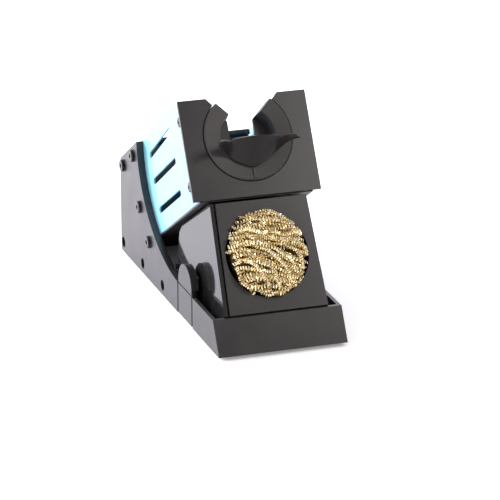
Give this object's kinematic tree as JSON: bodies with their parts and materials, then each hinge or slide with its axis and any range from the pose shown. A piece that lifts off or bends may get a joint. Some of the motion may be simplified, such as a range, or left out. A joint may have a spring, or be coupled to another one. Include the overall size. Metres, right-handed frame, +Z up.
{
  "type": "soldering iron stand",
  "caption": "Bench stand for a soldering iron: weighted base with two cheeks, sloping sheet cage with slotted funnel, and a lift-out box of brass cleaning wool.",
  "frame": {"origin": "centre of the footprint, in the plane of the feet", "axes": "+X to the stand's right as seen from the front, +Y to the rear, +Z up; the iron goes in from the front and above"},
  "size_m": [0.0732, 0.175, 0.1188],
  "materials": {
    "black_plastic": "moulded, satin with a fine grain",
    "box_plastic": "moulded, satin",
    "cover_plastic": "moulded, satin with a fine grain",
    "funnel_plastic": "moulded, heat resistant, satin",
    "flap_plastic": "moulded, deep black, smooth",
    "blue_sheet": "powder coat, light blue",
    "black_sheet": "powder coat, black",
    "black_screws": "black oxide",
    "zinc_steel": "zinc plated",
    "rubber": "matt",
    "brass_wool": "curled flat ribbon, bright"
  },
  "bodies": {
    "base": {"base_shell": "black_plastic", "ballast_plate": "black_sheet", "ballast_screws": "zinc_steel", "rubber_feet": "rubber", "tie_rods": "black_screws", "cheek_screws": "black_screws", "cage_shell": "blue_sheet", "cage_underside": "black_sheet", "cage_rear_wall": "black_sheet", "cage_cross_rod": "black_screws", "face_plate": "black_plastic", "plate_screws": "black_screws", "left_tab_pin": "zinc_steel", "right_tab_pin": "zinc_steel"},
    "left_tab": {"left_release_tab": "black_plastic"},
    "right_tab": {"right_release_tab": "black_plastic"},
    "wool_box": {"box_shell": "box_plastic", "box_pins": "black_screws"},
    "wool_insert": {"box_cover": "cover_plastic", "wool_cup": "cover_plastic", "brass_wool": "brass_wool"},
    "funnel": {"funnel_insert": "funnel_plastic", "insert_o_ring": "rubber", "flap_pin": "zinc_steel"},
    "flap": {"rest_flap": "flap_plastic"}
  },
  "joints": [
    {"name": "wool_box_slide", "type": "slide", "parent": "base", "child": "wool_box", "axis": [0, -0.8616, 0.5075], "range_m": [0, 0.09]},
    {"name": "box_cover_slide", "type": "slide", "parent": "wool_box", "child": "wool_insert", "axis": [0, -0.8616, 0.5075], "range_m": [0, 0.035]},
    {"name": "funnel_slide", "type": "slide", "parent": "base", "child": "funnel", "axis": [0, -0.8616, 0.5075], "range_m": [0, 0.03]},
    {"name": "flap_press", "type": "hinge", "parent": "funnel", "child": "flap", "pos_m": [0, -0.03345, 0.08785], "axis": [-1, 0, 0], "range_deg": [0, 8], "stiffness_Nm_per_rad": 0.01, "springref_deg": -17.19},
    {"name": "left_tab_press", "type": "hinge", "parent": "base", "child": "left_tab", "pos_m": [-0.0331, -0.03, 0.0065], "axis": [0, 1, 0], "range_deg": [0, 5], "stiffness_Nm_per_rad": 0.05, "springref_deg": -2.86},
    {"name": "right_tab_press", "type": "hinge", "parent": "base", "child": "right_tab", "pos_m": [0.0331, -0.03, 0.0065], "axis": [0, -1, 0], "range_deg": [0, 5], "stiffness_Nm_per_rad": 0.05, "springref_deg": -2.86}
  ]
}
